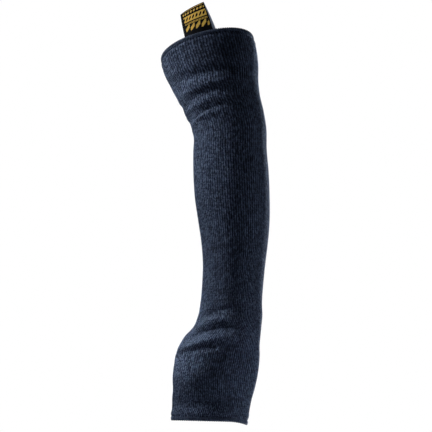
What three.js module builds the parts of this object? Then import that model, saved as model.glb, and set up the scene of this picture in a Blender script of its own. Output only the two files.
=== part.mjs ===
// Cut resistant sleeve: a fine knitted tube that covers the arm from the palm to
// above the elbow, in the bent form that it has on an arm. Both edges are bound
// by overlock stitching, and a folded woven label stands up out of the upper one.
// Millimetres. X is to the right as the sleeve is seen from the front, Y is away
// from the viewer and Z is up. The origin is the middle of the elbow.

import * as THREE from 'three';
import { ParametricGeometry } from 'three/addons/geometries/ParametricGeometry.js';

// Size of the whole sleeve, lower edge to upper edge
const SLEEVE_HEIGHT = 448;
const ELBOW_AT = 0.842;

// Outer width and depth over each part of the arm
const HAND_WIDTH = 101;
const HAND_DEPTH = 52;
const WRIST_WIDTH = 73;
const WRIST_DEPTH = 56;
const FOREARM_WIDTH = 90;
const FOREARM_DEPTH = 86;
const UPPER_ARM_WIDTH = 118;
const UPPER_ARM_DEPTH = 104;
const SQUARENESS = 2.08;

// Cloth and thread
const KNIT_WALL = 2;
const EDGE_WALL = 1.2;
const EDGE_LENGTH = 4.2;
const THREAD = 0.8;
const OVERLOCK_REACH = 3.2;
const CLEARANCE = 0.3;

// How far the deepest crease or ridge of the knit stands from the plain tube, and
// how much lower the right corner of the lower edge hangs
const FOLD_DEPTH = 2.6;
const CORNER_DROP = 3.4;
const CORNER_SPREAD = 62;
const CORNER_REACH = 0.07;

// Woven label, folded over its top and sewn inside the front of the upper edge
const LABEL_WIDTH = 35;
const LABEL_STAND = 36;
const LABEL_TUCK = 12;
const LABEL_LEAF = 1;
const LABEL_GAP = 0.3;
const LABEL_SEAT = 0.6;
const LABEL_SIDE = 263;
const LABEL_LEAN = 3;
const LABEL_TWIST = -27;

// Fineness of the surfaces
const AROUND = 36;
const LABEL_ACROSS = 6;
const LABEL_UP = 7;
const LABEL_ROUND = 3;

const HAND = { width: HAND_WIDTH, depth: HAND_DEPTH };
const WRIST = { width: WRIST_WIDTH, depth: WRIST_DEPTH };
const FOREARM = { width: FOREARM_WIDTH, depth: FOREARM_DEPTH };
const UPPER_ARM = { width: UPPER_ARM_WIDTH, depth: UPPER_ARM_DEPTH };

// Rows of a table as objects, from the names of its columns and a list for each row
function tableOf(columns, ...rows) {
  return rows.map((row) => Object.fromEntries(columns.map((column, i) => [column, row[i]])));
}

// Sections from the lower edge to the upper one.
// at: height, as a share of SLEEVE_HEIGHT. of: whose width and depth it follows.
// wide, deep: shares of those. shift: to the right of the elbow, a share of
// FOREARM_WIDTH. back: behind the elbow, a share of UPPER_ARM_DEPTH. roll: degrees
// that its right side is raised. pitch: degrees that its front is raised.
// egg: how much deeper its left side is than the middle, a share of the depth.
const SECTIONS = tableOf(
  ['at', 'of', 'wide', 'deep', 'shift', 'back', 'roll', 'pitch', 'egg'],
  [0, HAND, 0.9, 0.77, -0.172, -0.07, -1.4, 12, 0.1],
  [0.046, HAND, 0.939, 0.83, -0.15, -0.07, 0.4, 8, 0.12],
  [0.086, HAND, 0.966, 0.88, -0.108, -0.07, 0.9, 5, 0.15],
  [0.125, HAND, 0.996, 0.94, -0.082, -0.07, 2.1, 3, 0.18],
  [0.167, HAND, 0.999, 0.98, -0.063, -0.07, 2.7, 1, 0.18],
  [0.198, HAND, 0.972, 1, -0.048, -0.07, 2.8, 0, 0.14],
  [0.226, HAND, 0.903, 1, 0.003, -0.07, 2.3, 0, 0.08],
  [0.252, WRIST, 1.122, 0.93, 0.066, -0.07, 1.7, 0, 0.04],
  [0.28, WRIST, 1.055, 0.93, 0.105, -0.07, 0.9, 0, 0],
  [0.313, WRIST, 1.008, 0.96, 0.119, -0.07, 0, 0, 0],
  [0.362, WRIST, 0.999, 1.04, 0.138, -0.07, 0, 0, 0],
  [0.421, FOREARM, 0.829, 0.76, 0.158, -0.07, 0, 0, 0],
  [0.477, FOREARM, 0.884, 0.85, 0.165, -0.07, 0, 0, 0],
  [0.535, FOREARM, 0.948, 0.92, 0.155, -0.07, 0, 0, 0],
  [0.597, FOREARM, 0.993, 0.98, 0.133, -0.07, 0, 0, 0],
  [0.662, FOREARM, 0.999, 1, 0.117, -0.07, 0.8, 0, 0],
  [0.725, FOREARM, 0.976, 1.01, 0.103, -0.058, 3.1, 2, 0],
  [0.768, FOREARM, 0.972, 1.02, 0.105, -0.048, 6.2, 4, 0],
  [0.811, UPPER_ARM, 0.758, 0.88, 0.062, -0.029, 9.1, 8, 0],
  [0.849, UPPER_ARM, 0.792, 0.91, -0.004, 0, 10.2, 11, 0],
  [0.887, UPPER_ARM, 0.85, 0.94, -0.062, 0.029, 11, 13, 0],
  [0.932, UPPER_ARM, 0.938, 0.97, -0.118, 0.067, 11.4, 15, 0],
  [0.969, UPPER_ARM, 0.982, 0.98, -0.166, 0.096, 12.6, 15.5, 0],
  [1, UPPER_ARM, 0.975, 0.97, -0.2, 0.125, 13.9, 16, 0],
);

// Creases and ridges across the knit. at: height of the middle, a share of
// SLEEVE_HEIGHT. side: angle of its middle round the sleeve, 270 being the front
// and 180 the left. spread: degrees that it reaches to each side of that. rise:
// how much it climbs over the spread, bow: how much its ends sink below that line,
// and reach: half its width up the sleeve, shares of SLEEVE_HEIGHT. height: a share
// of FOLD_DEPTH, below nothing a crease.
const FOLDS = tableOf(
  ['name', 'at', 'side', 'spread', 'rise', 'bow', 'reach', 'height'],
  ['palm_bulge', 0.012, 222, 60, 0, 0, 0.02, 0.4],
  ['palm_hollow', 0.043, 230, 80, 0.006, 0, 0.031, -1.4],
  ['thumb_base', 0.122, 230, 78, -0.006, 0, 0.068, 1.7],
  ['heel_crease', 0.2, 250, 66, 0.016, 0.006, 0.012, -0.7],
  ['heel_ridge', 0.2185, 236, 78, 0.04, 0.04, 0.015, 1],
  ['wrist_crease', 0.247, 240, 72, 0.033, 0.04, 0.012, -0.95],
  ['wrist_ridge', 0.269, 234, 78, 0.033, 0.03, 0.015, 1],
  ['high_wrist_crease', 0.2965, 242, 72, 0.033, 0.01, 0.015, -0.85],
  ['back_heel_crease', 0.212, 122, 70, -0.012, 0, 0.018, -0.6],
  ['back_wrist_ridge', 0.242, 122, 75, -0.016, 0, 0.018, 0.55],
  ['back_wrist_crease', 0.272, 125, 75, -0.018, 0, 0.018, -0.6],
  ['low_ripple', 0.585, 225, 48, 0.019, 0, 0.009, -0.25],
  ['middle_ripple', 0.65, 225, 48, 0.021, 0, 0.008, -0.3],
  ['high_ripple', 0.697, 225, 48, 0.02, 0, 0.01, -0.28],
  ['crook_fold', 0.8045, 222, 62, 0.018, 0.014, 0.011, 0.85],
  ['low_crook_crease', 0.8185, 240, 74, 0.0195, 0.024, 0.007, -0.85],
  ['crook_ridge', 0.8335, 222, 88, 0.017, 0.012, 0.012, 1.2],
  ['crook_crease', 0.8525, 224, 74, 0.02, 0.025, 0.0075, -0.95],
  ['high_crook_ridge', 0.8725, 236, 78, 0.002, -0.004, 0.014, 1],
  ['upper_arm_hollow', 0.9035, 240, 82, -0.01, -0.02, 0.02, -1.35],
  ['back_crook_crease', 0.866, 138, 66, -0.01, 0, 0.013, -0.85],
  ['back_crook_ridge', 0.845, 140, 64, -0.01, 0, 0.012, 0.6],
  ['back_low_crease', 0.825, 138, 64, -0.012, 0, 0.013, -0.75],
);

// Rows of the surface, closer together where the knit is folded
const BANDS = [
  { name: 'hand', upTo: 0.19, rows: 7 },
  { name: 'wrist', upTo: 0.34, rows: 17 },
  { name: 'forearm', upTo: 0.77, rows: 10 },
  { name: 'elbow', upTo: 0.94, rows: 26 },
  { name: 'cuff', upTo: 1, rows: 3 },
];

const radians = THREE.MathUtils.degToRad;

// A curve through the values of a table: cubic Hermite pieces, each slope worked
// out from the three rows around it
function curveThrough(rows, valueOf) {
  const at = rows.map((row) => row.at);
  const value = rows.map(valueOf);
  const steep = at.slice(1).map((end, i) => (value[i + 1] - value[i]) / (end - at[i]));
  const last = at.length - 1;
  const slope = at.map((here, i) => {
    if (i === 0) return steep[0];
    if (i === last) return steep[last - 1];
    const below = here - at[i - 1];
    const above = at[i + 1] - here;
    return (steep[i - 1] * above + steep[i] * below) / (below + above);
  });
  return (share) => {
    const next = at.findIndex((height, k) => k > 0 && (share < height || k === last));
    const i = next - 1;
    const span = at[next] - at[i];
    const t = (share - at[i]) / span;
    const risen = t * t * (3 - 2 * t);
    const bend = span * t * (1 - t) * (slope[i] * (1 - t) - slope[next] * t);
    return value[i] + (value[next] - value[i]) * risen + bend;
  };
}

const halfWidthAt = curveThrough(SECTIONS, (row) => row.wide * row.of.width / 2);
const halfDepthAt = curveThrough(SECTIONS, (row) => row.deep * row.of.depth / 2);
const shiftAt = curveThrough(SECTIONS, (row) => row.shift * FOREARM_WIDTH);
const backAt = curveThrough(SECTIONS, (row) => row.back * UPPER_ARM_DEPTH);
const rollAt = curveThrough(SECTIONS, (row) => radians(row.roll));
const pitchAt = curveThrough(SECTIONS, (row) => radians(row.pitch));
const eggAt = curveThrough(SECTIONS, (row) => row.egg);

// One hump that is 1 in its middle and dies away smoothly at a distance of 1
function hump(distance) {
  return Math.abs(distance) < 1 ? Math.cos(distance * Math.PI / 2) ** 2 : 0;
}

// How far an angle is from a side of the sleeve, as a share of a spread
function asideOf(angle, side, spread) {
  const turn = THREE.MathUtils.euclideanModulo(angle - radians(side) + Math.PI, 2 * Math.PI);
  return (turn - Math.PI) / radians(spread);
}

function foldHeight(angle, at) {
  let height = 0;
  for (const fold of FOLDS) {
    const aside = asideOf(angle, fold.side, fold.spread);
    const above = at - fold.at - fold.rise * aside + fold.bow * aside ** 2;
    height += FOLD_DEPTH * fold.height * hump(aside) * hump(above / fold.reach);
  }
  return height;
}

function signedPower(base, power) {
  return Math.sign(base) * Math.abs(base) ** power;
}

function heightOf(at) {
  return (at - ELBOW_AT) * SLEEVE_HEIGHT;
}

// A point of the knit: angle round the sleeve (0 right, a quarter turn back, half
// a turn left), height share and depth below the outer face. Each section is a
// superellipse, and folds push it in or out at right angles to its edge.
function wallPoint(angle, at, inset) {
  const halfWidth = halfWidthAt(at);
  const across = Math.cos(angle);
  const away = Math.sin(angle);
  const halfDepth = halfDepthAt(at) * (1 - eggAt(at) * across);
  const round = 2 / SQUARENESS;
  const facingRight = signedPower(across, 2 - round) / halfWidth;
  const facingBack = signedPower(away, 2 - round) / halfDepth;
  const out = (foldHeight(angle, at) - inset) / Math.hypot(facingRight, facingBack);
  const right = halfWidth * signedPower(across, round) + out * facingRight;
  const back = halfDepth * signedPower(away, round) + out * facingBack;
  const roll = rollAt(at);
  const pitch = pitchAt(at);
  const drop = CORNER_DROP * hump(asideOf(angle, 0, CORNER_SPREAD)) * hump(at / CORNER_REACH);
  return new THREE.Vector3(
    shiftAt(at) + right * Math.cos(roll) + back * Math.sin(pitch) * Math.sin(roll),
    backAt(at) + back * Math.cos(pitch),
    heightOf(at) - drop + right * Math.sin(roll) - back * Math.sin(pitch) * Math.cos(roll),
  );
}

const LOWER = { at: 0, beyond: -1 };
const UPPER = { at: 1, beyond: 1 };

// Outward and onward directions at an edge of the sleeve, and the middle of its wall
function edgeFrame(angle, edge) {
  const middle = wallPoint(angle, edge.at, KNIT_WALL / 2);
  const before = edge.at - edge.beyond * EDGE_LENGTH / SLEEVE_HEIGHT;
  const onward = middle.clone().sub(wallPoint(angle, before, KNIT_WALL / 2)).normalize();
  const outward = wallPoint(angle, edge.at, 0).sub(wallPoint(angle, edge.at, KNIT_WALL)).normalize();
  return { middle, onward, outward };
}

// A point out from the middle of the wall and on past the edge, or back over the
// cloth where past is below nothing
function edgePoint(angle, edge, out, past) {
  const { middle, onward, outward } = edgeFrame(angle, edge);
  return middle.addScaledVector(outward, out).addScaledVector(onward, past);
}

// A closed ring round the sleeve from a list of places, each a function of the
// angle. The list goes round the section of the ring.
function ringGeometry(places) {
  const place = (u, v, target) => {
    const index = Math.round(v * places.length) % places.length;
    target.copy(places[index](u * 2 * Math.PI));
  };
  return new ParametricGeometry(place, AROUND, places.length);
}

function knitGeometry() {
  const margin = 2 * EDGE_LENGTH / SLEEVE_HEIGHT;
  const heights = [margin];
  let from = 0;
  for (const band of BANDS) {
    for (let row = 1; row <= band.rows; row += 1) {
      const share = from + (band.upTo - from) * row / band.rows;
      heights.push(margin + (1 - 2 * margin) * share);
    }
    from = band.upTo;
  }
  const skin = (side, inset) => [
    (angle) => edgePoint(angle, LOWER, side * EDGE_WALL / 2, 0),
    (angle) => edgePoint(angle, LOWER, side * EDGE_WALL / 2, -EDGE_LENGTH),
    ...heights.map((at) => (angle) => wallPoint(angle, at, inset)),
    (angle) => edgePoint(angle, UPPER, side * EDGE_WALL / 2, -EDGE_LENGTH),
    (angle) => edgePoint(angle, UPPER, side * EDGE_WALL / 2, 0),
  ];
  return ringGeometry([...skin(1, 0), ...skin(-1, KNIT_WALL).reverse()]);
}

// Faces of the overlock thread, from the middle of the wall and past the edge
const THREAD_INSIDE = EDGE_WALL / 2 + CLEARANCE;
const THREAD_OUTSIDE = THREAD_INSIDE + THREAD;
const THREAD_TOP = CLEARANCE + THREAD;

// Thread wrapped over an edge: a U-shaped section with a leg on each side
function overlockGeometry(edge) {
  const section = [
    { out: THREAD_OUTSIDE, past: -OVERLOCK_REACH },
    { out: THREAD_OUTSIDE, past: CLEARANCE },
    { out: THREAD_INSIDE, past: THREAD_TOP },
    { out: -THREAD_INSIDE, past: THREAD_TOP },
    { out: -THREAD_OUTSIDE, past: CLEARANCE },
    { out: -THREAD_OUTSIDE, past: -OVERLOCK_REACH },
    { out: -THREAD_INSIDE, past: -OVERLOCK_REACH },
    { out: -THREAD_INSIDE, past: CLEARANCE },
    { out: THREAD_INSIDE, past: CLEARANCE },
    { out: THREAD_INSIDE, past: -OVERLOCK_REACH },
  ];
  const ordered = edge === UPPER ? section : section.reverse();
  return ringGeometry(ordered.map(({ out, past }) => (angle) => edgePoint(angle, edge, out, past)));
}

// Places along the folded label seen on its side edge, from the foot of its front
// leaf over the fold to the foot of the back one. turn: direction out of the fold.
// Below the thread the leaves are straight.
function labelPlaces(shoulder) {
  const heights = [-LABEL_TUCK];
  for (let row = 0; row <= LABEL_UP; row += 1) {
    heights.push(THREAD_TOP + (shoulder - THREAD_TOP) * row / LABEL_UP);
  }
  const over = Array.from({ length: LABEL_ROUND }, (_, k) => Math.PI * (1 - (k + 1) / (LABEL_ROUND + 1)));
  return [
    ...heights.map((height) => ({ height, turn: Math.PI })),
    ...over.map((turn) => ({ height: shoulder, turn })),
    ...heights.slice().reverse().map((height) => ({ height, turn: 0 })),
  ];
}

// The label is a flat slab, a row of points to each place, that is folded and laid
// against the inside of the wall. Above the thread it leans to the left and twists
// about its middle line.
function labelGeometry() {
  const foldRadius = (LABEL_LEAF + LABEL_GAP) / 2;
  const places = labelPlaces(LABEL_STAND - foldRadius - LABEL_LEAF / 2);
  const rows = places.length - 1;
  const side = radians(LABEL_SIDE);
  const middle = THREAD_OUTSIDE + LABEL_SEAT + LABEL_LEAF / 2 + foldRadius;
  const degree = radians(1);
  const onEdge = (angle) => edgePoint(angle, UPPER, -middle, 0);
  const degreeLength = onEdge(side + degree).distanceTo(onEdge(side));
  const foot = edgePoint(side, UPPER, -middle, THREAD_TOP);
  const { onward, outward } = edgeFrame(side, UPPER);
  const upright = onward.applyAxisAngle(outward, radians(LABEL_LEAN));
  const geometry = new THREE.BoxGeometry(LABEL_WIDTH, rows, LABEL_LEAF, LABEL_ACROSS, rows, 1);
  const position = geometry.getAttribute('position');
  for (let i = 0; i < position.count; i += 1) {
    const angle = side + degree * position.getX(i) / degreeLength;
    const place = places[Math.round(position.getY(i) + rows / 2)];
    const radius = foldRadius + position.getZ(i);
    const height = place.height + radius * Math.sin(place.turn);
    const above = Math.max(height - THREAD_TOP, 0);
    const point = edgePoint(angle, UPPER, -middle - radius * Math.cos(place.turn), height - above);
    const twist = radians(LABEL_TWIST) * above / LABEL_STAND;
    point.sub(foot).applyAxisAngle(upright, twist).add(foot).addScaledVector(upright, above);
    position.setXYZ(i, point.x, point.y, point.z);
  }
  geometry.computeVertexNormals();
  return geometry;
}

// Dark blue-grey knit of cut resistant yarn, dull
function knitMaterial() {
  return new THREE.MeshStandardMaterial({ color: 0x2b3342, roughness: 0.92, metalness: 0 });
}

// Overlock thread of the same shade, a little lighter
function threadMaterial() {
  return new THREE.MeshStandardMaterial({ color: 0x353d4c, roughness: 0.85, metalness: 0 });
}

// Black and gold woven tape
function labelMaterial() {
  return new THREE.MeshStandardMaterial({ color: 0x8a7238, roughness: 0.6, metalness: 0 });
}

function piece(name, geometry, material) {
  const mesh = new THREE.Mesh(geometry, material);
  mesh.name = name;
  return mesh;
}

const sleeve = new THREE.Group();
sleeve.name = 'cut_resistant_sleeve';
sleeve.add(
  piece('knit_sleeve', knitGeometry(), knitMaterial()),
  piece('upper_edge_overlock', overlockGeometry(UPPER), threadMaterial()),
  piece('lower_edge_overlock', overlockGeometry(LOWER), threadMaterial()),
  piece('woven_label', labelGeometry(), labelMaterial()),
);

export default sleeve;
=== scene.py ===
"""Cut resistant sleeve: the looks of a fine knitted tube for the arm, in the form that
it has on a bent arm, with overlocked edges and a folded woven label.

Shapes are worked out in millimetres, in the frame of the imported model: X to the right
as the sleeve is seen from the front, Y away from the viewer, Z up, and the origin in
the middle of the elbow. Angles round the sleeve start at its right side: a quarter
turn is the back, half a turn the left and three quarters the front.
"""

import math

import bpy
import numpy as np
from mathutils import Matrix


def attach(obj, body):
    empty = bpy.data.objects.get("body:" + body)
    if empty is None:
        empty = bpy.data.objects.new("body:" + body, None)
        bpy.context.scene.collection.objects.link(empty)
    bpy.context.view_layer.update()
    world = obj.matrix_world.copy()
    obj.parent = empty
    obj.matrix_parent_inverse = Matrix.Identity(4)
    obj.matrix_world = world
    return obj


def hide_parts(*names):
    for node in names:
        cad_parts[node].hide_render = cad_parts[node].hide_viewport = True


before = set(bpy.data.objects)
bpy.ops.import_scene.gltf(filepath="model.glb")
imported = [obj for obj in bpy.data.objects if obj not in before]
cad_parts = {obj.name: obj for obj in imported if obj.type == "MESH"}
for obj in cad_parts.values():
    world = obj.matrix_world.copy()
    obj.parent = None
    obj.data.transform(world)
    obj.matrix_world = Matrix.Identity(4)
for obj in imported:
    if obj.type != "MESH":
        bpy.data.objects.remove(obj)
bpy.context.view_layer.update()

MM = 0.001
TURN = 2 * np.pi

# Size of the whole sleeve, lower edge to upper edge, and of each part of the arm in it
SLEEVE_HEIGHT = 448
ELBOW_AT = 0.842
HAND = {"width": 101, "depth": 52}
WRIST = {"width": 73, "depth": 56}
FOREARM = {"width": 90, "depth": 86}
UPPER_ARM = {"width": 118, "depth": 104}
SQUARENESS = 2.08

# Cloth and thread
KNIT_WALL = 2
EDGE_WALL = 1.2
EDGE_LENGTH = 4.2
THREAD = 0.8
OVERLOCK_REACH = 3.2
CLEARANCE = 0.3
FOLD_DEPTH = 2.6
CORNER_DROP = 3.4
CORNER_SPREAD = 62
CORNER_REACH = 0.07

# Knit: stitches side by side round the sleeve, the height of a row of stitches, and how
# far the columns of stitches stand up from the grooves between them
WALES = 96
COURSE = 2.1
WALE_RELIEF = 0.55
POINTS_A_WALE = 5
LEG_FALL = 0.75
STITCH_RELIEF = 0.6

# Woven label, folded over its top and sewn inside the front of the upper edge
LABEL_WIDTH = 35
LABEL_STAND = 36
LABEL_TUCK = 12
LABEL_LEAF = 0.6
LABEL_RADIUS = 0.65
LABEL_SEAT = 0.6
LABEL_SIDE = 263
LABEL_LEAN = 3
LABEL_TWIST = -27
LABEL_SPLAY = 4

# Sections of the sleeve from the lower edge to the upper one. at: height as a share of
# SLEEVE_HEIGHT. part: whose width and depth it follows. wide, deep: shares of those.
# shift: to the right, a share of the forearm's width. back: a share of the upper arm's
# depth. roll and pitch: degrees that its right side and its front are raised. egg: how
# much deeper its left side is than the middle, a share of the depth.
SECTION_COLUMNS = ("at", "part", "wide", "deep", "shift", "back", "roll", "pitch", "egg")
SECTIONS = [
    (0, HAND, 0.9, 0.77, -0.172, -0.07, -1.4, 12, 0.1),
    (0.046, HAND, 0.939, 0.83, -0.15, -0.07, 0.4, 8, 0.12),
    (0.086, HAND, 0.966, 0.88, -0.108, -0.07, 0.9, 5, 0.15),
    (0.125, HAND, 0.996, 0.94, -0.082, -0.07, 2.1, 3, 0.18),
    (0.167, HAND, 0.999, 0.98, -0.063, -0.07, 2.7, 1, 0.18),
    (0.198, HAND, 0.972, 1, -0.048, -0.07, 2.8, 0, 0.14),
    (0.226, HAND, 0.903, 1, 0.003, -0.07, 2.3, 0, 0.08),
    (0.252, WRIST, 1.122, 0.93, 0.066, -0.07, 1.7, 0, 0.04),
    (0.28, WRIST, 1.055, 0.93, 0.105, -0.07, 0.9, 0, 0),
    (0.313, WRIST, 1.008, 0.96, 0.119, -0.07, 0, 0, 0),
    (0.362, WRIST, 0.999, 1.04, 0.138, -0.07, 0, 0, 0),
    (0.421, FOREARM, 0.829, 0.76, 0.158, -0.07, 0, 0, 0),
    (0.477, FOREARM, 0.884, 0.85, 0.165, -0.07, 0, 0, 0),
    (0.535, FOREARM, 0.948, 0.92, 0.155, -0.07, 0, 0, 0),
    (0.597, FOREARM, 0.993, 0.98, 0.133, -0.07, 0, 0, 0),
    (0.662, FOREARM, 0.999, 1, 0.117, -0.07, 0.8, 0, 0),
    (0.725, FOREARM, 0.976, 1.01, 0.103, -0.058, 3.1, 2, 0),
    (0.768, FOREARM, 0.972, 1.02, 0.105, -0.048, 6.2, 4, 0),
    (0.811, UPPER_ARM, 0.758, 0.88, 0.062, -0.029, 9.1, 8, 0),
    (0.849, UPPER_ARM, 0.792, 0.91, -0.004, 0, 10.2, 11, 0),
    (0.887, UPPER_ARM, 0.85, 0.94, -0.062, 0.029, 11, 13, 0),
    (0.932, UPPER_ARM, 0.938, 0.97, -0.118, 0.067, 11.4, 15, 0),
    (0.969, UPPER_ARM, 0.982, 0.98, -0.166, 0.096, 12.6, 15.5, 0),
    (1, UPPER_ARM, 0.975, 0.97, -0.2, 0.125, 13.9, 16, 0),
]

# Creases and ridges across the knit. at: height of the middle, a share of
# SLEEVE_HEIGHT. side: angle of its middle in degrees. spread: degrees that it reaches
# to each side of that. rise: how much it climbs over the spread, bow: how much its ends
# sink below that line, and reach: half its width up the sleeve, shares of
# SLEEVE_HEIGHT. height: a share of FOLD_DEPTH, below nothing a crease. The creases of the
# crook are half a millimetre shallower than in the solids, as the knit's ribs deepen them,
# and the ripples half a millimetre deeper, as the ribs hide them.
FOLD_COLUMNS = ("name", "at", "side", "spread", "rise", "bow", "reach", "height")
FOLDS = [
    ("palm_bulge", 0.012, 222, 60, 0, 0, 0.02, 0.4),
    ("palm_hollow", 0.043, 230, 80, 0.006, 0, 0.031, -1.4),
    ("thumb_base", 0.122, 230, 78, -0.006, 0, 0.068, 1.7),
    ("heel_crease", 0.2, 250, 66, 0.016, 0.006, 0.012, -0.7),
    ("heel_ridge", 0.2185, 236, 78, 0.04, 0.04, 0.015, 1),
    ("wrist_crease", 0.247, 240, 72, 0.033, 0.04, 0.012, -0.95),
    ("wrist_ridge", 0.269, 234, 78, 0.033, 0.03, 0.015, 1),
    ("high_wrist_crease", 0.2965, 242, 72, 0.033, 0.01, 0.015, -0.85),
    ("back_heel_crease", 0.212, 122, 70, -0.012, 0, 0.018, -0.6),
    ("back_wrist_ridge", 0.242, 122, 75, -0.016, 0, 0.018, 0.55),
    ("back_wrist_crease", 0.272, 125, 75, -0.018, 0, 0.018, -0.6),
    ("low_ripple", 0.585, 225, 48, 0.019, 0, 0.009, -0.4),
    ("middle_ripple", 0.65, 225, 48, 0.021, 0, 0.008, -0.5),
    ("high_ripple", 0.697, 225, 48, 0.02, 0, 0.01, -0.45),
    ("crook_fold", 0.8045, 222, 62, 0.018, 0.014, 0.011, 0.85),
    ("low_crook_crease", 0.8185, 240, 74, 0.0195, 0.024, 0.007, -0.65),
    ("crook_ridge", 0.8335, 222, 88, 0.017, 0.012, 0.012, 1.05),
    ("crook_crease", 0.8525, 224, 74, 0.02, 0.025, 0.0075, -0.7),
    ("high_crook_ridge", 0.8725, 236, 78, 0.002, -0.004, 0.014, 1),
    ("upper_arm_hollow", 0.9035, 240, 82, -0.01, -0.02, 0.02, -1.35),
    ("back_crook_crease", 0.866, 138, 66, -0.01, 0, 0.013, -0.85),
    ("back_crook_ridge", 0.845, 140, 64, -0.01, 0, 0.012, 0.6),
    ("back_low_crease", 0.825, 138, 64, -0.012, 0, 0.013, -0.75),
]

# Rows of the knit's surface up to each height, closer where it is folded
BANDS = [
    {"name": "hand", "up_to": 0.19, "rows": 30},
    {"name": "wrist", "up_to": 0.34, "rows": 34},
    {"name": "forearm", "up_to": 0.77, "rows": 40},
    {"name": "elbow", "up_to": 0.94, "rows": 44},
    {"name": "cuff", "up_to": 1, "rows": 22},
]


def curve_through(name, scale):
    """A function of the height share: cubic Hermite pieces through one column of
    SECTIONS times a scale, each slope the mean of the two steps beside its row, each
    weighted by the length of the other."""
    at = np.array([row[0] for row in SECTIONS], float)
    value = np.array([row[SECTION_COLUMNS.index(name)] * scale(row[1]) for row in SECTIONS])
    length = np.diff(at)
    steep = np.diff(value) / length
    slope = np.concatenate([steep[:1], steep, steep[-1:]])[[*range(len(at))]]
    inner = (steep[:-1] * length[1:] + steep[1:] * length[:-1]) / (length[:-1] + length[1:])
    slope[1:-1] = inner
    slope[-1] = steep[-1]

    def curve(share):
        i = np.clip(np.searchsorted(at, share, side="right") - 1, 0, len(at) - 2)
        t = (share - at[i]) / length[i]
        risen = t * t * (3 - 2 * t)
        bend = length[i] * t * (1 - t) * (slope[i] * (1 - t) - slope[i + 1] * t)
        return value[i] + (value[i + 1] - value[i]) * risen + bend

    return curve


half_width_at = curve_through("wide", lambda part: part["width"] / 2)
half_depth_at = curve_through("deep", lambda part: part["depth"] / 2)
shift_at = curve_through("shift", lambda part: FOREARM["width"])
back_at = curve_through("back", lambda part: UPPER_ARM["depth"])
roll_at = curve_through("roll", lambda part: math.radians(1))
pitch_at = curve_through("pitch", lambda part: math.radians(1))
egg_at = curve_through("egg", lambda part: 1)


def hump(distance):
    """One in the middle, falling as the square of a cosine to nothing at a distance of 1."""
    return np.where(np.abs(distance) < 1, np.cos(distance * np.pi / 2) ** 2, 0)


def aside_of(angle, side, spread):
    """How far an angle is from a side of the sleeve, as a share of a spread in degrees."""
    turned = np.mod(angle - math.radians(side) + np.pi, TURN) - np.pi
    return turned / math.radians(spread)


def fold_height(angle, at):
    """The sum of the folds: each a hump across its spread times one across its reach."""
    height = np.zeros(np.broadcast(angle, at).shape)
    for name, middle, side, spread, rise, bow, reach, share in FOLDS:
        aside = aside_of(angle, side, spread)
        above = at - middle - rise * aside + bow * aside ** 2
        height += FOLD_DEPTH * share * hump(aside) * hump(above / reach)
    return height


def signed_power(base, power):
    return np.sign(base) * np.abs(base) ** power


def wall(angle, at, inset):
    """Points of the knit. Each section is a superellipse, pushed out by the folds and in
    by the inset at right angles to its edge, then pitched, rolled and set at its height."""
    half_width, across, away = half_width_at(at), np.cos(angle), np.sin(angle)
    half_depth = half_depth_at(at) * (1 - egg_at(at) * across)
    roundness = 2 / SQUARENESS
    facing_right = signed_power(across, 2 - roundness) / half_width
    facing_back = signed_power(away, 2 - roundness) / half_depth
    out = (fold_height(angle, at) - inset) / np.hypot(facing_right, facing_back)
    right = half_width * signed_power(across, roundness) + out * facing_right
    back = half_depth * signed_power(away, roundness) + out * facing_back
    roll, pitch = roll_at(at), pitch_at(at)
    drop = CORNER_DROP * hump(aside_of(angle, 0, CORNER_SPREAD)) * hump(at / CORNER_REACH)
    return np.stack(
        [
            shift_at(at) + right * np.cos(roll) + back * np.sin(pitch) * np.sin(roll),
            back_at(at) + back * np.cos(pitch),
            (at - ELBOW_AT) * SLEEVE_HEIGHT - drop
            + right * np.sin(roll) - back * np.sin(pitch) * np.cos(roll),
        ],
        axis=-1,
    )


def unit(vectors):
    return vectors / np.linalg.norm(vectors, axis=-1, keepdims=True)


LOWER = {"at": 0.0, "beyond": -1}
UPPER = {"at": 1.0, "beyond": 1}


def edge_point(angle, edge, out, past):
    """A point out from the middle of the wall and on past an edge of the sleeve, or back
    over the cloth where past is below nothing."""
    at = np.full(np.shape(angle), edge["at"])
    middle = wall(angle, at, KNIT_WALL / 2)
    before = wall(angle, at - edge["beyond"] * EDGE_LENGTH / SLEEVE_HEIGHT, KNIT_WALL / 2)
    outward = unit(wall(angle, at, 0) - wall(angle, at, KNIT_WALL))
    return middle + np.multiply.outer(out, np.ones(3)) * outward + (
        np.multiply.outer(past, np.ones(3)) * unit(middle - before)
    )


def evenly_round(at, count):
    """Angles at which a section's outline is cut into equal lengths, from the back round
    by the left and the front, a row of count + 1 angles for each height."""
    fine = np.linspace(0, TURN, 721) + TURN / 4
    outline = wall(fine[None, :], at[:, None], 0)
    steps = np.linalg.norm(np.diff(outline, axis=1), axis=2)
    length = np.concatenate([np.zeros((len(at), 1)), np.cumsum(steps, axis=1)], axis=1)
    shares = np.linspace(0, 1, count + 1)
    return np.array([np.interp(shares * row[-1], row, fine) for row in length])


def mesh_piece(name, points, faces, maps, materials):
    """A mesh object from points in millimetres, faces as lists of corners and named
    maps, each with one pair of numbers for each corner of each face."""
    mesh = bpy.data.meshes.new(name)
    mesh.from_pydata((points * MM).tolist(), [], faces)
    for map_name, corners in maps.items():
        layer = mesh.uv_layers.new(name=map_name)
        layer.data.foreach_set("uv", np.asarray(corners, np.float32).ravel())
    mesh.polygons.foreach_set("use_smooth", [True] * len(mesh.polygons))
    for material in materials:
        mesh.materials.append(material)
    mesh.validate()
    mesh.update()
    piece = bpy.data.objects.new(name, mesh)
    bpy.context.scene.collection.objects.link(piece)
    return piece


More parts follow.
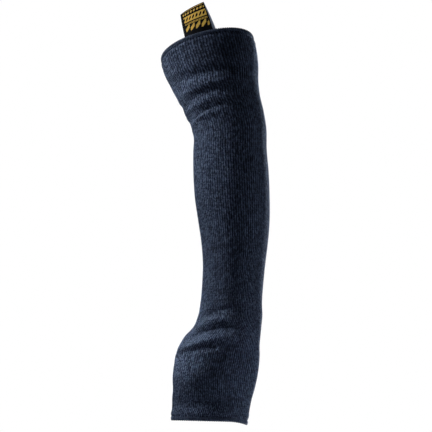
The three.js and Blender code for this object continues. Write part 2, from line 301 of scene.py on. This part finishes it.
def grid_faces(rows, columns, first=0):
    """Corners of the quads of a grid that closes on itself across its columns."""
    row, column = np.meshgrid(np.arange(rows - 1), np.arange(columns), indexing="ij")
    beside = (column + 1) % columns
    corners = np.stack(
        [row * columns + column, row * columns + beside,
         (row + 1) * columns + beside, (row + 1) * columns + column], axis=-1)
    return first + corners.reshape(-1, 4)


def grid_map(across, up):
    """Map corners in the order of grid_faces, from the places of the columns, with the
    closing one as the last, and of the rows."""
    u = np.stack([across[:-1], across[1:], across[1:], across[:-1]], axis=-1)
    v = np.stack([up[:-1], up[:-1], up[1:], up[1:]], axis=-1)
    u, v = np.broadcast_arrays(u[None, :, :], v[:, None, :])
    return np.stack([u, v], axis=-1).reshape(-1, 2)


def knit_rows(share=1.0):
    """Heights of the rows, with the rows of each band spread evenly up to its end."""
    heights, start = [0.0], 0.0
    for band in BANDS:
        rows = max(int(round(band["rows"] * share)), 2)
        heights += list(start + (band["up_to"] - start) * np.arange(1, rows + 1) / rows)
        start = band["up_to"]
    return np.array(heights)


# Where the overlock thread pulls the knit in, and the lip of loose knit beside it
GROOVE_AT = OVERLOCK_REACH + 0.6
GROOVE_REACH = 1.8
GROOVE_DEPTH = 0.75
LIP_AT = 7.2
LIP_REACH = 3.4
LIP_HEIGHT = 0.7


def edge_inset(at):
    """How far the outer face is pulled in near an edge: the thin edge under the thread,
    a groove beside it and then a lip that stands out, by distance from the edge."""
    distance = np.minimum(at, 1 - at) * SLEEVE_HEIGHT
    thin = (KNIT_WALL - EDGE_WALL) / 2
    flat = thin * (1 - np.clip((distance - EDGE_LENGTH) / EDGE_LENGTH, 0, 1))
    groove = GROOVE_DEPTH * hump((distance - GROOVE_AT) / GROOVE_REACH)
    return flat, groove - LIP_HEIGHT * hump((distance - LIP_AT) / LIP_REACH)


def knit_sleeve(material):
    """The knitted tube: an outer skin whose columns of stitches stand up as the absolute
    sine of their place, an inner skin one wall inside it, and a rim at each edge."""
    outer_at, inner_at = knit_rows(), knit_rows(0.62)
    columns = WALES * POINTS_A_WALE
    rib = WALE_RELIEF * (np.abs(np.sin(np.pi * np.arange(columns) / POINTS_A_WALE)) - 0.5)
    thin, pulled = edge_inset(outer_at)
    calm = 1 - thin / thin.max()
    outer = wall(
        evenly_round(outer_at, columns)[:, :-1],
        outer_at[:, None],
        (thin + pulled)[:, None] - calm[:, None] * rib[None, :],
    )
    thin, pulled = edge_inset(inner_at)
    inner = wall(
        evenly_round(inner_at, WALES)[:, :-1],
        inner_at[:, None],
        (KNIT_WALL - thin + np.maximum(pulled, 0) * 0.4)[:, None],
    )
    outer_faces = grid_faces(len(outer_at), columns)
    inner_faces = grid_faces(len(inner_at), WALES, outer[..., 0].size)[:, ::-1]
    rims = []
    for outer_row, inner_row, turned in ((0, 0, True), (len(outer_at) - 1, len(inner_at) - 1, False)):
        start = outer_row * columns
        inside = outer[..., 0].size + inner_row * WALES
        wale, step = np.meshgrid(np.arange(WALES), np.arange(POINTS_A_WALE + 1), indexing="ij")
        outside = start + (wale * POINTS_A_WALE + step) % columns
        beside = inside + np.stack([(wale[:, 0] + 1) % WALES, wale[:, 0]], axis=1)
        ring = np.concatenate([outside, beside], axis=1)
        rims.append(ring[:, ::-1] if turned else ring)
    across = np.arange(columns + 1) / POINTS_A_WALE
    courses = SLEEVE_HEIGHT / COURSE
    inner_map = grid_map(np.arange(WALES + 1.0), inner_at * courses)
    maps = [grid_map(across, outer_at * courses), inner_map.reshape(-1, 4, 2)[:, ::-1].reshape(-1, 2)]
    maps += [np.zeros((ring.size, 2)) for ring in rims]
    faces = outer_faces.tolist() + inner_faces.tolist() + [f for ring in rims for f in ring.tolist()]
    points = np.concatenate([outer.reshape(-1, 3), inner.reshape(-1, 3)])
    return mesh_piece("knitted_tube", points, faces, {"stitches": np.concatenate(maps)}, [material])


# Overlock thread: distance from one turn to the next, its width and thickness, steps in
# a turn and sides of the thread
STITCH = 2.8
THREAD_WIDTH = 2.3
TURN_STEPS = 18
THREAD_SIDES = 8
# The needle thread beside the turns, and how far it sways from side to side
NEEDLE_THREAD = 0.7
NEEDLE_SWAY = 0.35


def swept(path, normals, half_wide, half_thick, sides):
    """Points of a closed thread: at each step an ellipse across the path, its long axis
    at right angles to both the path and the normal. Path and normals close on themselves."""
    tangent = unit(np.roll(path, -1, axis=0) - np.roll(path, 1, axis=0))
    normal = unit(normals - tangent * np.sum(normals * tangent, axis=1, keepdims=True))
    side = np.cross(tangent, normal)
    turn = np.arange(sides) * TURN / sides
    wide = half_wide * np.cos(turn)[None, :, None] * side[:, None, :]
    thick = half_thick * np.sin(turn)[None, :, None] * normal[:, None, :]
    return path[:, None, :] + wide + thick


def thread_faces(steps, sides, first):
    """Corners of the quads of a closed thread, facing out."""
    step, side = np.meshgrid(np.arange(steps), np.arange(sides), indexing="ij")
    after, beside = (step + 1) % steps, (side + 1) % sides
    corners = [step * sides + side, step * sides + beside, after * sides + beside, after * sides + side]
    return first + np.stack(corners, axis=-1).reshape(-1, 4)[:, ::-1]


def thread_map(along, sides):
    """Map corners of thread_faces: length along the thread and place round it."""
    u = np.stack([along[:-1], along[:-1], along[1:], along[1:]], axis=-1)[:, None, :]
    place = np.arange(sides + 1) / sides
    v = np.stack([place[:-1], place[1:], place[1:], place[:-1]], axis=-1)[None, :, :]
    u, v = np.broadcast_arrays(u, v)
    return np.stack([u, v], axis=-1).reshape(-1, 4, 2)[:, ::-1].reshape(-1, 2)


def overlock(name, edge, material):
    """Overlock stitching: one flat thread coiled over the edge, out along an oval round
    the edge as it goes on round the sleeve, and a needle thread that sways along the
    foot of the turns on each side of the cloth."""
    fine = np.linspace(0, TURN, 1441)
    outline = edge_point(fine, edge, np.zeros(fine.size), np.zeros(fine.size))
    length = np.concatenate([[0], np.cumsum(np.linalg.norm(np.diff(outline, axis=0), axis=1))])
    turns = int(round(length[-1] / STITCH))
    top = CLEARANCE + THREAD / 2
    half_height = (top + OVERLOCK_REACH - THREAD / 2) / 2
    half_gap = EDGE_WALL / 2 + CLEARANCE + THREAD / 2

    def coil(out_of, past_of, count):
        share = np.arange(count) / count
        angle = np.interp(share * length[-1], length, fine)
        return edge_point(angle, edge, out_of(share), past_of(share))

    def wound(share):
        return share * turns * TURN

    steps = turns * TURN_STEPS
    coiled = coil(
        lambda s: half_gap * signed_power(np.cos(wound(s)), 0.7),
        lambda s: top - half_height + half_height * signed_power(np.sin(wound(s)), 0.8),
        steps,
    )
    middle = coil(lambda s: np.zeros(s.shape), lambda s: np.full(s.shape, top - half_height), steps)
    thread = swept(coiled, coiled - middle, THREAD_WIDTH / 2, THREAD / 2, THREAD_SIDES)
    parts, faces = [thread.reshape(-1, 3)], [thread_faces(steps, THREAD_SIDES, 0)]
    run = np.concatenate([[0], np.cumsum(np.linalg.norm(np.roll(coiled, -1, 0) - coiled, axis=1))])
    maps = [thread_map(run, THREAD_SIDES)]
    needle_steps = turns * 8
    for side in (1, -1):
        line = coil(
            lambda s: np.full(s.shape, side * (EDGE_WALL / 2 + NEEDLE_THREAD / 2)),
            lambda s: NEEDLE_SWAY * np.sin(wound(s)) - OVERLOCK_REACH,
            needle_steps,
        )
        core = coil(
            lambda s: np.zeros(s.shape), lambda s: np.full(s.shape, -OVERLOCK_REACH), needle_steps
        )
        needle = swept(line, line - core, NEEDLE_THREAD / 2, NEEDLE_THREAD / 2, 6)
        faces.append(thread_faces(needle_steps, 6, sum(len(p) for p in parts)))
        parts.append(needle.reshape(-1, 3))
        run = np.concatenate([[0], np.cumsum(np.linalg.norm(np.roll(line, -1, 0) - line, axis=1))])
        maps.append(thread_map(run, 6))
    points = np.concatenate(parts)
    corners = np.concatenate(faces)
    return mesh_piece(name, points, corners.tolist(), {"thread": np.concatenate(maps)}, [material])


# Map places of the label's reverse side start here, past its width
REVERSE = 100
LABEL_COLUMNS = 28
LABEL_ROWS = 36
LABEL_FOLD_ROWS = 7


def woven_label(material):
    """The folded label: a flat slab laid from the foot of its front leaf over a round
    fold to the foot of its back one, against the inside of the wall, that leans, twists
    about its middle line and comes apart to the right at its foot as it rises."""
    shoulder = LABEL_STAND - LABEL_RADIUS - LABEL_LEAF / 2
    clear = CLEARANCE + THREAD
    up = np.concatenate([np.linspace(-LABEL_TUCK, clear, 6)[:-1], np.linspace(clear, shoulder, LABEL_ROWS)])
    over = np.pi * (1 - np.arange(1, LABEL_FOLD_ROWS) / LABEL_FOLD_ROWS)
    height = np.concatenate([up, np.full(over.size, shoulder), up[::-1]])
    turn = np.concatenate([np.full(up.size, np.pi), over, np.zeros(up.size)])
    along = np.concatenate([up, shoulder + LABEL_RADIUS * (np.pi - over), shoulder + np.pi * LABEL_RADIUS + shoulder - up[::-1]])
    across = np.linspace(-0.5, 0.5, LABEL_COLUMNS + 1) * LABEL_WIDTH
    side = math.radians(LABEL_SIDE)
    middle = EDGE_WALL / 2 + CLEARANCE + THREAD + LABEL_SEAT + 1.0 / 2 + LABEL_RADIUS
    degree = math.radians(1)
    pair = edge_point(np.array([side, side + degree]), UPPER, np.full(2, -middle), np.zeros(2))
    degree_length = np.linalg.norm(pair[1] - pair[0])
    foot = edge_point(np.array(side), UPPER, np.array(-middle), np.array(clear))
    level = edge_point(np.array(side), UPPER, np.array(0.0), np.array(0.0))
    outward = unit(edge_point(np.array(side), UPPER, np.array(1.0), np.array(0.0)) - level)
    onward = unit(edge_point(np.array(side), UPPER, np.array(0.0), np.array(1.0)) - level)
    upright = turned_about(onward, outward, math.radians(LABEL_LEAN))

    def face(offset):
        radius = (LABEL_RADIUS + offset)[None, :, None][0]
        rise = height[:, None] + radius * np.sin(turn)[:, None] + 0 * across[None, :]
        above = np.maximum(rise - clear, 0)
        behind = np.cos(turn / 2)[:, None] ** 2
        slid = across[None, :] + LABEL_SPLAY * behind * (1 - rise / LABEL_STAND).clip(0, 1)
        angle = side + degree * slid / degree_length
        out = -middle - radius * np.cos(turn)[:, None] + 0 * slid
        point = edge_point(angle, UPPER, out, rise - above)
        twist = math.radians(LABEL_TWIST) * above / LABEL_STAND
        return turned_about(point - foot, upright, twist) + foot + above[..., None] * upright

    rows, columns = height.size, across.size
    outer = face(np.full(1, LABEL_LEAF / 2))
    inner = face(np.full(1, -LABEL_LEAF / 2))
    row, column = np.meshgrid(np.arange(rows - 1), np.arange(columns - 1), indexing="ij")
    a = row * columns + column
    quads = np.stack([a, a + columns, a + columns + 1, a + 1], axis=-1).reshape(-1, 4)
    inner_quads = quads[:, ::-1] + rows * columns
    border = np.concatenate([
        np.arange(columns), (np.arange(1, rows)) * columns + columns - 1,
        (rows - 1) * columns + np.arange(columns - 2, -1, -1), np.arange(rows - 2, 0, -1) * columns])
    after = np.roll(border, -1)
    rim = np.stack([border, after, after + rows * columns, border + rows * columns], axis=-1)
    points = np.concatenate([outer.reshape(-1, 3), inner.reshape(-1, 3)])
    place = np.stack(np.broadcast_arrays(across[None, :] + LABEL_WIDTH / 2, along[:, None]), axis=-1)
    place = np.concatenate([place.reshape(-1, 2), place.reshape(-1, 2) + (REVERSE, 0)])
    faces = np.concatenate([quads, inner_quads, rim])[:, ::-1]
    return mesh_piece("folded_label", points, faces.tolist(), {"label": place[faces.ravel()]}, [material])


def turned_about(vectors, axis, angle):
    """Vectors turned about an axis by Rodrigues' formula."""
    angle = np.asarray(angle)[..., None]
    along = np.sum(vectors * axis, axis=-1, keepdims=True) * axis
    return along + (vectors - along) * np.cos(angle) + np.cross(axis, vectors) * np.sin(angle)


def linear(hex_colour):
    """A colour written as sRGB hex, turned to the linear values that the shaders use."""
    parts = [int(hex_colour[i:i + 2], 16) / 255 for i in (1, 3, 5)]
    return [c / 12.92 if c <= 0.04045 else ((c + 0.055) / 1.055) ** 2.4 for c in parts] + [1]


def add(tree, kind, inputs=None, **settings):
    """Adds a node with its settings, and sets or links each of its inputs: a node stands
    for its first output, a pair for a node and the name of an output."""
    made = tree.nodes.new(kind)
    for name, value in settings.items():
        setattr(made, name, value)
    for key, value in (inputs or {}).items():
        if isinstance(value, bpy.types.Node):
            tree.links.new(value.outputs[0], made.inputs[key])
        elif isinstance(value, tuple) and isinstance(value[0], bpy.types.Node):
            tree.links.new(value[0].outputs[value[1]], made.inputs[key])
        else:
            made.inputs[key].default_value = value
    return made


def new_material(name):
    material = bpy.data.materials.new(name)
    material.use_nodes = True
    material.node_tree.nodes.clear()
    return material, material.node_tree


def finish_material(tree, shader_inputs):
    shader = add(tree, "ShaderNodeBsdfPrincipled", shader_inputs)
    add(tree, "ShaderNodeOutputMaterial", {"Surface": shader})


MATH = "ShaderNodeMath"


def knitted_yarn():
    """Cut resistant yarn of dark blue-grey fibre round a fine core, knitted as plain
    jersey: to the eye columns of small V stitches, each a little lighter or darker than
    the next, in rows of uneven yarn, dull, with a pale bloom of fibre ends where it
    turns away. A stitch's legs fall by LEG_FALL rows from the middle of its column.
    The colour is darker in the grooves between the columns and between the legs and
    rows of the stitches: painted shade, from the same relief that also drives the bump."""
    material, tree = new_material("knitted_yarn")
    stitches = add(tree, "ShaderNodeUVMap", uv_map="stitches")
    place = add(tree, "ShaderNodeSeparateXYZ", {0: stitches})
    across = add(tree, MATH, {0: (place, "X")}, operation="FRACT")
    aside = add(tree, MATH, {0: across, 1: 0.5}, operation="SUBTRACT")
    aside = add(tree, MATH, {0: aside}, operation="ABSOLUTE")
    climb = add(tree, MATH, {0: aside, 1: -2 * LEG_FALL, 2: (place, "Y")}, operation="MULTIPLY_ADD")
    strand = add(tree, MATH, {0: climb, 1: 0.5}, operation="PINGPONG")
    leg = add(tree, MATH, {0: (place, "X"), 1: 0.25}, operation="PINGPONG")
    legs = add(tree, MATH, {0: strand, 1: leg}, operation="MULTIPLY")
    column = add(tree, MATH, {0: (place, "X"), 1: 0.5}, operation="PINGPONG")
    relief_and_groove_shade = add(tree, MATH, {0: legs, 1: 2.0, 2: column}, operation="MULTIPLY_ADD")
    halves = add(tree, MATH, {0: (place, "X"), 1: 2.0}, operation="MULTIPLY")
    rows = add(tree, MATH, {0: climb, 1: 1.4}, operation="MULTIPLY")
    number = add(tree, "ShaderNodeCombineXYZ", {"X": halves, "Y": rows})
    number = add(tree, "ShaderNodeVectorMath", {0: number}, operation="FLOOR")
    shade = add(tree, "ShaderNodeTexWhiteNoise", {"Vector": number}, noise_dimensions="2D")
    yarn = add(tree, "ShaderNodeMapping", {"Vector": stitches, "Scale": (0.14, 0.8, 1)})
    uneven = add(tree, "ShaderNodeTexNoise", {"Vector": yarn, "Scale": 1.0, "Detail": 2.0})
    tone = add(tree, MATH, {0: shade, 1: 0.45, 2: -0.02}, operation="MULTIPLY_ADD")
    tone = add(tree, MATH, {0: uneven, 1: 0.12, 2: tone}, operation="MULTIPLY_ADD")
    # The relief darkens the colour in the grooves between the columns and between the legs and rows of the
    # stitches: painted shade.
    tone = add(tree, MATH, {0: relief_and_groove_shade, 1: 0.8, 2: tone}, operation="MULTIPLY_ADD")
    colour = add(tree, "ShaderNodeValToRGB", {"Fac": tone})
    ramp = colour.color_ramp
    ramp.elements[0].position, ramp.elements[0].color = 0.25, linear("#0C121F")
    ramp.elements[1].position, ramp.elements[1].color = 0.95, linear("#6F7F9B")
    middle = ramp.elements.new(0.6)
    middle.color = linear("#343F54")
    fibres = add(tree, "ShaderNodeTexNoise", {"Vector": stitches, "Scale": 6.0, "Detail": 3.0})
    height = add(tree, MATH, {0: fibres, 1: 0.35, 2: relief_and_groove_shade}, operation="MULTIPLY_ADD")
    bump = add(
        tree, "ShaderNodeBump", {"Strength": 1.0, "Distance": STITCH_RELIEF * MM, "Height": height}
    )
    finish_material(tree, {
        "Base Color": colour, "Roughness": 0.95, "Specular IOR Level": 0.2, "Normal": bump,
        "Sheen Weight": 0.9, "Sheen Roughness": 0.23, "Sheen Tint": linear("#9FB0C8"),
    })
    return material


def overlock_thread():
    """Textured polyester thread, wound round the edge: to the eye soft, even strands a
    little smoother than the knit, with the fine slant of their twist."""
    material, tree = new_material("overlock_thread")
    place = add(tree, "ShaderNodeUVMap", uv_map="thread")
    twist = add(tree, "ShaderNodeMapping", {"Vector": place, "Rotation": (0, 0, 0.5), "Scale": (1, 1.2, 1)})
    plies = add(tree, "ShaderNodeTexWave", {"Vector": twist, "Scale": 0.9, "Distortion": 0.6}, wave_type="BANDS")
    patches = add(tree, "ShaderNodeTexNoise", {"Vector": place, "Scale": 0.25, "Detail": 2.0})
    colour = add(tree, "ShaderNodeValToRGB", {"Fac": patches})
    ramp = colour.color_ramp
    ramp.elements[0].position, ramp.elements[0].color = 0.3, linear("#232E42")
    ramp.elements[1].position, ramp.elements[1].color = 0.7, linear("#48566F")
    bump = add(tree, "ShaderNodeBump", {"Strength": 0.5, "Distance": 0.2 * MM, "Height": (plies, "Fac")})
    finish_material(tree, {
        "Base Color": colour, "Roughness": 0.8, "Specular IOR Level": 0.3, "Normal": bump,
        "Sheen Weight": 0.2, "Sheen Roughness": 0.4, "Sheen Tint": linear("#9FB0C8"),
    })
    return material


# Figures of the label's generic pattern, in millimetres. down: middle of the row below
# the fold. half: half its height. pitch: from one figure to the next. wide: half the
# width of one, a share of the pitch. slant: how far it leans over its height. taper: 1
# for a lozenge and 0 for a bar. cut: whether it is cut out of the gold again.
FIGURE_COLUMNS = ("name", "down", "half", "pitch", "wide", "slant", "taper", "cut")
FIGURES = [
    ("top_lozenges", 1.8, 0.7, 2.4, 0.4, 0, 1, False),
    ("high_bars", 5.0, 1.2, 4.2, 0.34, 1.2, 0.3, False),
    ("band", 12.0, 3.7, 70, 0.5, 0, 0, False),
    ("band_strokes", 12.0, 2.2, 4.4, 0.33, 2.8, 0.6, True),
    ("thin_marks", 18.2, 1.1, 1.8, 0.3, 0.5, 0.2, False),
    ("big_leaves", 24.0, 4.2, 6.8, 0.37, 6.0, 0.72, False),
]
LABEL_MARGINS = (4.2, 33.6)
WEAVE_STEP = 0.3


def woven_tape():
    """Damask woven label tape of black and gold polyester: to the eye a black satin
    ground with rows of gold figures in fine thread steps, a little shiny. A figure is
    gold where its distance aside, over its width, is less than one minus its taper times
    its distance up or down over its half height."""
    material, tree = new_material("woven_tape")
    place = add(tree, "ShaderNodeUVMap", uv_map="label")
    threads = add(
        tree, "ShaderNodeVectorMath", {0: place, 1: (WEAVE_STEP,) * 3}, operation="SNAP"
    )
    threads = add(tree, "ShaderNodeSeparateXYZ", {0: threads})
    down = add(tree, MATH, {0: float(LABEL_STAND), 1: (threads, "Y")}, operation="SUBTRACT")
    gold = 0.0
    for name, middle, half, pitch, wide, slant, taper, cut in FIGURES:
        above = add(tree, MATH, {0: down, 1: middle}, operation="SUBTRACT")
        leant = add(tree, MATH, {0: above, 1: slant / half / 2, 2: (threads, "X")}, operation="MULTIPLY_ADD")
        aside = add(tree, MATH, {0: leant, 1: pitch / 2}, operation="PINGPONG")
        aside = add(tree, MATH, {0: aside, 1: pitch * wide}, operation="DIVIDE")
        above = add(tree, MATH, {0: above}, operation="ABSOLUTE")
        above = add(tree, MATH, {0: above, 1: half}, operation="DIVIDE")
        room = add(tree, MATH, {0: above, 1: -taper, 2: 1.0}, operation="MULTIPLY_ADD")
        within = add(tree, MATH, {0: room, 1: aside}, operation="GREATER_THAN")
        level = add(tree, MATH, {0: above, 1: 1.0}, operation="LESS_THAN")
        figure = add(tree, MATH, {0: within, 1: level}, operation="MULTIPLY")
        gold = add(tree, MATH, {0: gold, 1: figure}, operation="SUBTRACT" if cut else "MAXIMUM")
    for margin, side in zip(LABEL_MARGINS, ("GREATER_THAN", "LESS_THAN")):
        inside = add(tree, MATH, {0: (threads, "X"), 1: margin}, operation=side)
        gold = add(tree, MATH, {0: gold, 1: inside}, operation="MULTIPLY")
    gloss = add(tree, "ShaderNodeTexNoise", {"Vector": place, "Scale": 0.9, "Detail": 3.0})
    ground = add(tree, "ShaderNodeMixRGB", {
        "Fac": gloss, "Color1": linear("#020204"), "Color2": linear("#07080D")})
    figures = add(tree, "ShaderNodeMixRGB", {
        "Fac": gloss, "Color1": linear("#B98F36"), "Color2": linear("#FFD768")})
    colour = add(tree, "ShaderNodeMixRGB", {"Fac": gold, "Color1": ground, "Color2": figures})
    reverse = add(tree, MATH, {0: (threads, "X"), 1: REVERSE / 2}, operation="GREATER_THAN")
    colour = add(tree, "ShaderNodeMixRGB", {
        "Fac": reverse, "Color1": colour, "Color2": linear("#A4ADBC")})
    weave = add(tree, "ShaderNodeTexWave", {"Vector": place, "Scale": 1 / WEAVE_STEP / 6}, wave_type="BANDS")
    height = add(tree, MATH, {0: (weave, "Fac"), 1: 0.5, 2: gold}, operation="MULTIPLY_ADD")
    bump = add(tree, "ShaderNodeBump", {"Strength": 0.6, "Distance": 0.15 * MM, "Height": height})
    finish_material(tree, {
        "Base Color": colour, "Roughness": 0.7, "Specular IOR Level": 0.06, "Normal": bump,
    })
    return material


# The middle of the sleeve, which the lights face, in metres
LIT_POINT = (-0.005, 0.0, -0.13)


def area_light(name, azimuth, elevation, distance, size, power, colour, spread=180, target=LIT_POINT):
    """A soft light that faces the middle of the sleeve, azimuth degrees to the right of
    the viewer and elevation degrees up, with its size as width and height in metres and
    the angle over which it spreads."""
    data = bpy.data.lights.new(name, "AREA")
    data.shape, data.size, data.size_y = "RECTANGLE", *size
    data.energy, data.color, data.spread = power, linear(colour)[:3], math.radians(spread)
    lamp = bpy.data.objects.new(name, data)
    bpy.context.scene.collection.objects.link(lamp)
    turn, rise = math.radians(azimuth), math.radians(elevation)
    away = np.array([math.sin(turn) * math.cos(rise), -math.cos(turn) * math.cos(rise), math.sin(rise)])
    lamp.location = np.array(target) + away * distance
    lamp.rotation_euler = (math.radians(90) - rise, 0, turn)
    return lamp


def studio():
    """A plain pale floor that curves up into a round wall, evenly lit for the camera
    alone so that the lamps shape the sleeve, a dim room and soft lamps at the sides."""
    radius, corner, floor, top = 2.6, 0.8, -1.3, 3.0
    bend = np.linspace(0, np.pi / 2, 13)
    out = np.concatenate([[0.01], radius - corner + corner * np.sin(bend), [radius]])
    up = np.concatenate([[floor], floor + corner * (1 - np.cos(bend)), [top]])
    turn = np.linspace(0, TURN, 97)[:-1]
    points = np.stack(np.broadcast_arrays(
        out[:, None] * np.cos(turn), out[:, None] * np.sin(turn), up[:, None]), axis=-1) / MM
    faces = grid_faces(out.size, turn.size)
    paper, tree = new_material("lit_paper")
    light = add(tree, "ShaderNodeEmission", {"Color": linear("#FFFFFF"), "Strength": 1.0})
    add(tree, "ShaderNodeOutputMaterial", {"Surface": light})
    rim = np.arange(turn.size)
    faces = faces.tolist() + [rim.tolist(), (rim + (out.size - 1) * turn.size).tolist()]
    backdrop = mesh_piece("floor_and_backdrop", points.reshape(-1, 3), faces, {}, [paper])
    backdrop.visible_diffuse = False
    backdrop.visible_glossy = False
    backdrop.visible_shadow = False
    world = bpy.data.worlds.new("dim_room")
    world.use_nodes = True
    world.node_tree.nodes["Background"].inputs["Color"].default_value = linear("#C8D0E0")
    world.node_tree.nodes["Background"].inputs["Strength"].default_value = 0.035
    bpy.context.scene.world = world
    area_light("left_softbox", -86, 33, 2.0, (0.4, 0.8), 1.2, "#FFFFFF", 22, (0, 0, -0.18))
    area_light("right_softbox", 97, -28, 1.2, (0.4, 0.7), 7.5, "#F2F6FF")
    area_light("palm_edge_light", 100, -20, 1.2, (0.1, 0.1), 0.055, "#F2F6FF", 14, (0.02, 0, -0.36))
    area_light("low_fill", -22, -55, 0.9, (0.5, 0.5), 1.2, "#F2F6FF")
    area_light("rim_strip", 147, -18, 1.3, (0.15, 1.3), 70, "#F2F6FF")
    area_light("label_light", 42, 25, 1.5, (0.05, 0.05), 0.003, "#F2F6FF", 2.2, (-0.012, -0.03, 0.115))
    area_light("hand_light", -70, 46, 1.5, (0.1, 0.1), 0.044, "#FFFFFF", 6, (-0.026, 0, -0.285))
    area_light("crook_light", -70, 44, 1.5, (0.1, 0.1), 0.022, "#FFFFFF", 4, (-0.016, 0, -0.045))


def camera():
    """The viewing angle of the photograph: level, straight on, a little below the elbow."""
    data = bpy.data.cameras.new("camera")
    data.lens, data.sensor_width = 85, 36
    viewer = bpy.data.objects.new("camera", data)
    bpy.context.scene.collection.objects.link(viewer)
    viewer.location = (-7.5 * MM, -1231 * MM, -132 * MM)
    viewer.rotation_euler = (math.radians(90), 0, 0)
    bpy.context.scene.camera = viewer


camera()
studio()
bpy.context.scene.view_settings.view_transform = "Standard"

thread = overlock_thread()
tube = knit_sleeve(knitted_yarn())
upper_overlock = overlock("upper_overlock", UPPER, thread)
lower_overlock = overlock("lower_overlock", LOWER, thread)
label = woven_label(woven_tape())

for piece, node, slot in (
    (tube, "knit_sleeve", "knit"),
    (upper_overlock, "upper_edge_overlock", "edge_thread"),
    (lower_overlock, "lower_edge_overlock", "edge_thread"),
    (label, "woven_label", "label_tape"),
):
    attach(piece, "root")
    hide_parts(node)
